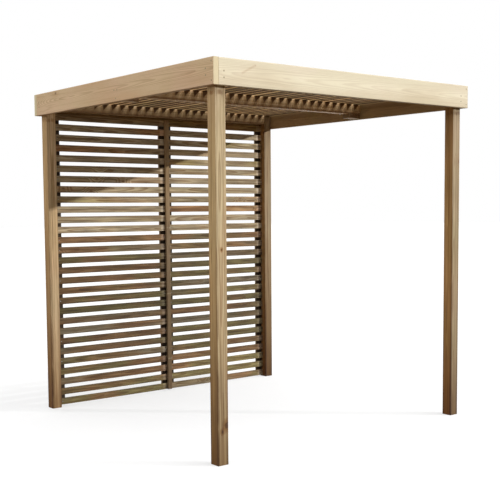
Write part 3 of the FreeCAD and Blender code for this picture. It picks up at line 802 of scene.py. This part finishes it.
class PERGOLA_OT_fascias(bpy.types.Operator):
    """Deep fascia boards round the roof: a pale one in front, a tan one on the left and brown ones elsewhere"""
    bl_idname = "pergola.fascias"
    bl_label = "Fascia boards"

    def execute(self, context):
        timber = context.scene.pergola_timber
        pale = np.array(timber.fascia_pale)
        tan = np.array(timber.fascia_tan)
        brown = np.array(timber.fascia_brown)
        end = timber.fascia_end
        front = timber_material("fascia_pale", (pale, pale * (0.98, 1.0, 0.96), pale * (1.0, 0.98, 0.96)), end,
                                late_share=0.22, streak_share=0.25, knot_share=0.03, marks=(scuff,))
        left = timber_material("fascia_tan", (tan, tan * (0.96, 1.0, 0.94), tan * (1.04, 1.0, 0.96)), end,
                               late_share=0.40, streak_share=0.40, knot_share=0.06)
        other = timber_material("fascia_brown", (brown, brown * (0.94, 1.0, 0.9), brown * (1.04, 1.0, 0.96)), end,
                                late_share=0.40, streak_share=0.45, knot_share=0.08)
        materials = {"fascia_front": front, "fascia_left": left}
        for number, node in enumerate(FASCIAS):
            low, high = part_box(node)
            axis = DEEP if high.y - low.y > high.x - low.x else ACROSS
            shape = board(low, high, axis, FASCIA_SEED + number, heart=False, stations=150,
                          bend=timber.fascia_bend if node == "fascia_left" else 0.0)
            timber_piece(node, [shape], materials.get(node, other))
        return {"FINISHED"}


class PERGOLA_OT_joists(bpy.types.Operator):
    """Joists across the roof, and the blocks under the ends of the middle one"""
    bl_idname = "pergola.joists"
    bl_label = "Joists"

    def execute(self, context):
        tan = np.array(context.scene.pergola_timber.post_tan)
        colours = (tan * (1.18, 1.13, 1.02), tan * (1.14, 1.09, 0.96), tan * (1.10, 1.03, 0.90))
        # The joists' undersides are paler as painted light, and their fronts carry painted sunlight and shade
        material = timber_material("joist_timber", colours, tan * END_SHADE, late_share=0.45, streak_share=0.5,
                                   knot_share=0.06, painted_light_below=0.35, roughness=0.54, marks=(painted_sun_fingers,))
        for number, node in enumerate(JOISTS):
            low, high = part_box(node)
            shape = board(low, high, ACROSS, JOIST_SEED + number, heart=True, stations=60)
            timber_piece(node, [shape], material)
        return {"FINISHED"}


class PERGOLA_OT_wall(bpy.types.Operator):
    """Slatted wall: two panels of level slats, their upright battens and the strip over the joint"""
    bl_idname = "pergola.wall"
    bl_label = "Slatted wall"

    def slats(self, timber):
        """The slats of each panel, evenly spaced over the panel's height, the upper ones paler as painted light."""
        brown = np.array(timber.slat_brown)
        # Painted light on the right-hand ends of the slats
        material = timber_material("wall_slat_timber", (brown, timber.slat_olive, timber.slat_grey),
                                   brown * WALL_END_SHADE, late_share=0.8, streak_share=1.0, knot_share=0.07,
                                   mottle_share=1.8, marks=(painted_light_ends,))
        first_painted_light = timber.slat_count - timber.painted_light_slats
        for panel, node in enumerate(WALL_SLATS):
            low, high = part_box(node)
            shapes = []
            for number, foot in enumerate(np.linspace(low.z, high.z - timber.slat_width, timber.slat_count)):
                half_painted_light = first_painted_light - timber.half_painted_light_slats <= number < first_painted_light
                # Painted light: the upper slats are paler, and a little the ones next below them; the lowest slats are
                # paler too
                lift = timber.painted_light_lift * (number >= first_painted_light)
                lift += timber.low_lift * (half_painted_light or number < timber.low_slats)
                shapes.append(board((low.x, low.y, foot), (high.x, high.y, foot + timber.slat_width), ACROSS,
                                    WALL_SEED + PANEL_SEEDS * panel + number, heart=False, stations=24,
                                    wander=timber.slat_wander, lift=lift))
            timber_piece(node, shapes, material)

    def battens(self, timber):
        """The battens behind the slats, and the cover strip in front of them."""
        dark = np.array(timber.batten_brown)
        strip = np.array(timber.strip_brown)
        # Painted shade on the battens' fronts
        plain = timber_material("wall_batten_timber", (dark, dark * (1.1, 1.15, 1.1), dark * 0.9),
                                dark * WALL_END_SHADE, late_share=0.45, streak_share=0.5, knot_share=0.05,
                                foot_share=0.6, marks=(painted_shade_front,))
        # Painted light on the cover strip's upper part
        cover = timber_material("wall_strip_timber", (strip, strip * (1.1, 1.05, 0.95), strip * 0.9),
                                strip * WALL_END_SHADE, late_share=0.45, streak_share=0.6, knot_share=0.05,
                                foot_share=0.6, marks=(painted_light_upper,))
        for number, node in enumerate(BATTENS):
            low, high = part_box(node)
            shape = board(low, high, UP, BATTEN_SEED + number, heart=False, stations=50)
            timber_piece(node, [shape], cover if node == "wall_cover_strip" else plain)

    def execute(self, context):
        timber = context.scene.pergola_timber
        self.slats(timber)
        self.battens(timber)
        return {"FINISHED"}


class PERGOLA_OT_roof_slats(bpy.types.Operator):
    """Roof slats, front to back over the joists"""
    bl_idname = "pergola.roof_slats"
    bl_label = "Roof slats"

    def execute(self, context):
        timber = context.scene.pergola_timber
        tan = np.array(timber.post_tan)
        colours = (tan * (1.22, 1.13, 0.98), tan * (1.12, 1.11, 0.92), tan * (1.30, 1.20, 1.06))
        # Painted shade on the roof slats' undersides
        material = timber_material("roof_slat_timber", colours, tan * END_SHADE, late_share=0.5, streak_share=0.5,
                                   knot_share=0.07, mottle_share=0.6, marks=(painted_shade_below,))
        for number, node in enumerate(ROOF_SLATS):
            low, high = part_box(node)
            shape = board(low, high, DEEP, ROOF_SEED + number, heart=False, stations=30, wander=timber.slat_wander)
            timber_piece(node, [shape], material)
        return {"FINISHED"}


class PERGOLA_OT_fasteners(bpy.types.Operator):
    """Screws with a dull olive coating, and galvanised nails"""
    bl_idname = "pergola.fasteners"
    bl_label = "Screws and nails"

    def execute(self, context):
        metal = context.scene.pergola_metal
        coated = metal_material("coated_screw", list(metal.screw_olive), metal.screw_bright, metallic=0.3,
                                roughness=0.55)
        galvanised = metal_material("galvanised_nail", list(metal.nail_grey), metal.nail_bright, metallic=0.85,
                                    roughness=0.50)
        for names, material in ((SCREWS, coated), (NAILS, galvanised)):
            for name in names:
                for slot in frame["nodes"][name].material_slots:
                    slot.material = material
        return {"FINISHED"}


class PERGOLA_OT_stage(bpy.types.Operator):
    """Pale floor, soft light and the camera"""
    bl_idname = "pergola.stage"
    bl_label = "Stage"

    def floor(self, stage):
        """A square floor, which the camera sees nearly white with the object's shadow on it."""
        half = stage.floor_side / 2
        mesh = bpy.data.meshes.new("floor")
        mesh.from_pydata([(-half, -half, 0), (half, -half, 0), (half, half, 0), (-half, half, 0)], [], [(0, 1, 2, 3)])
        floor = bpy.data.objects.new("floor", mesh)
        bpy.context.scene.collection.objects.link(floor)
        material, wire = new_material("floor")
        seen = self.seen_directly(wire)
        bounce = wire.node("ShaderNodeBsdfDiffuse", {}, {"Color": (*stage.floor_bounce, 1)})
        pale = wire.node("ShaderNodeBsdfDiffuse", {}, {"Color": (*stage.floor_pale, 1)})
        glow = wire.node("ShaderNodeEmission", {}, {"Color": (1, 1, 1, 1), "Strength": stage.floor_glow})
        white = wire.node("ShaderNodeAddShader", {}, {0: pale, 1: glow})
        surface = wire.node("ShaderNodeMixShader", {}, {0: seen, 1: bounce, 2: white})
        wire.node("ShaderNodeOutputMaterial", {}, {"Surface": surface})
        mesh.materials.append(material)

    def seen_directly(self, wire):
        """1 for what the camera sees straight, in a reflection or through glass, and 0 for the light on the object."""
        camera = wire.node("ShaderNodeLightPath", {}, {}, "Is Camera Ray")
        glossy = camera.sibling("Is Glossy Ray")
        through = camera.sibling("Is Transmission Ray")
        return camera.math("MAXIMUM", camera.math("MAXIMUM", camera, glossy), through)

    def sky(self, stage):
        """A soft light from all round, stronger by the square of its height, and white where it is seen."""
        world = bpy.data.worlds.new("sky")
        world.use_nodes = True
        world.node_tree.nodes.clear()
        wire = Wire(world.node_tree)
        seen = self.seen_directly(wire)
        height = parts(wire.node("ShaderNodeTexCoord", {}, {}, "Generated"))[UP]
        above = wire.math("MAXIMUM", height, 0.0)
        soft = above * above * (stage.sky_high - stage.sky_low) + stage.sky_low
        light = wire.node("ShaderNodeBackground", {}, {"Color": (1, 1, 1, 1), "Strength": seen * (1 - soft) + soft})
        wire.node("ShaderNodeOutputWorld", {}, {"Surface": light})
        bpy.context.scene.world = world

    def lamp(self, stage, name):
        """A far lamp with the settings of its name; its azimuth turns from the front towards the right."""
        light = bpy.data.lights.new(f"{name}_light", "SUN")
        light.energy = getattr(stage, f"{name}_strength")
        light.angle, azimuth, elevation = getattr(stage, f"{name}_angles")
        lamp = bpy.data.objects.new(f"{name}_light", light)
        to_lamp = Vector((math.sin(azimuth) * math.cos(elevation), -math.cos(azimuth) * math.cos(elevation),
                          math.sin(elevation)))
        lamp.rotation_euler = to_lamp.to_track_quat("Z", "Y").to_euler()
        bpy.context.scene.collection.objects.link(lamp)

    def camera(self, stage):
        """The camera at the photograph's place and turn."""
        yaw, pitch, roll = stage.camera_yaw, stage.camera_pitch, stage.camera_roll
        forward = Vector((math.sin(yaw) * math.cos(pitch), math.cos(yaw) * math.cos(pitch), -math.sin(pitch)))
        level = Vector((math.cos(yaw), -math.sin(yaw), 0))
        down = forward.cross(level)
        right = math.cos(roll) * level + math.sin(roll) * down
        below = math.cos(roll) * down - math.sin(roll) * level
        lens = bpy.data.cameras.new("camera")
        lens.lens = stage.camera_lens
        lens.sensor_width = SENSOR_WIDTH
        lens.shift_y = stage.camera_shift
        camera = bpy.data.objects.new("camera", lens)
        turn = Matrix((right, -below, -forward)).transposed().to_4x4()
        camera.matrix_world = Matrix.Translation(stage.camera_place) @ turn
        bpy.context.scene.collection.objects.link(camera)
        bpy.context.scene.camera = camera

    def execute(self, context):
        stage = context.scene.pergola_stage
        self.floor(stage)
        self.sky(stage)
        for name in LAMPS:
            self.lamp(stage, name)
        self.camera(stage)
        context.scene.view_settings.view_transform = "Standard"
        return {"FINISHED"}


class PERGOLA_PT_panel(bpy.types.Panel):
    """The pergola's pieces and settings in the sidebar"""
    bl_idname = "PERGOLA_PT_panel"
    bl_label = "Pergola"
    bl_space_type = "VIEW_3D"
    bl_region_type = "UI"
    bl_category = "Pergola"

    def draw(self, context):
        for operator in OPERATORS:
            self.layout.operator(operator.bl_idname)
        for name, group in SETTINGS.items():
            box = self.layout.box()
            for prop in group.__annotations__:
                box.prop(getattr(context.scene, name), prop)


SETTINGS = {
    "pergola_timber": PergolaTimberSettings,
    "pergola_metal": PergolaMetalSettings,
    "pergola_stage": PergolaStageSettings,
}
OPERATORS = (
    PERGOLA_OT_posts,
    PERGOLA_OT_fascias,
    PERGOLA_OT_joists,
    PERGOLA_OT_wall,
    PERGOLA_OT_roof_slats,
    PERGOLA_OT_fasteners,
    PERGOLA_OT_stage,
)


def register():
    """Adds the settings, operators and panel to Blender."""
    for group in (*SETTINGS.values(), *OPERATORS, PERGOLA_PT_panel):
        bpy.utils.register_class(group)
    for name, group in SETTINGS.items():
        setattr(bpy.types.Scene, name, bpy.props.PointerProperty(type=group))


def unregister():
    """Takes them out again."""
    for name in SETTINGS:
        delattr(bpy.types.Scene, name)
    for group in reversed((*SETTINGS.values(), *OPERATORS, PERGOLA_PT_panel)):
        bpy.utils.unregister_class(group)


def main():
    """Builds every piece in order."""
    register()
    for operator in OPERATORS:
        group, name = operator.bl_idname.split(".")
        getattr(getattr(bpy.ops, group), name)()


if __name__ == "__main__":
    main()
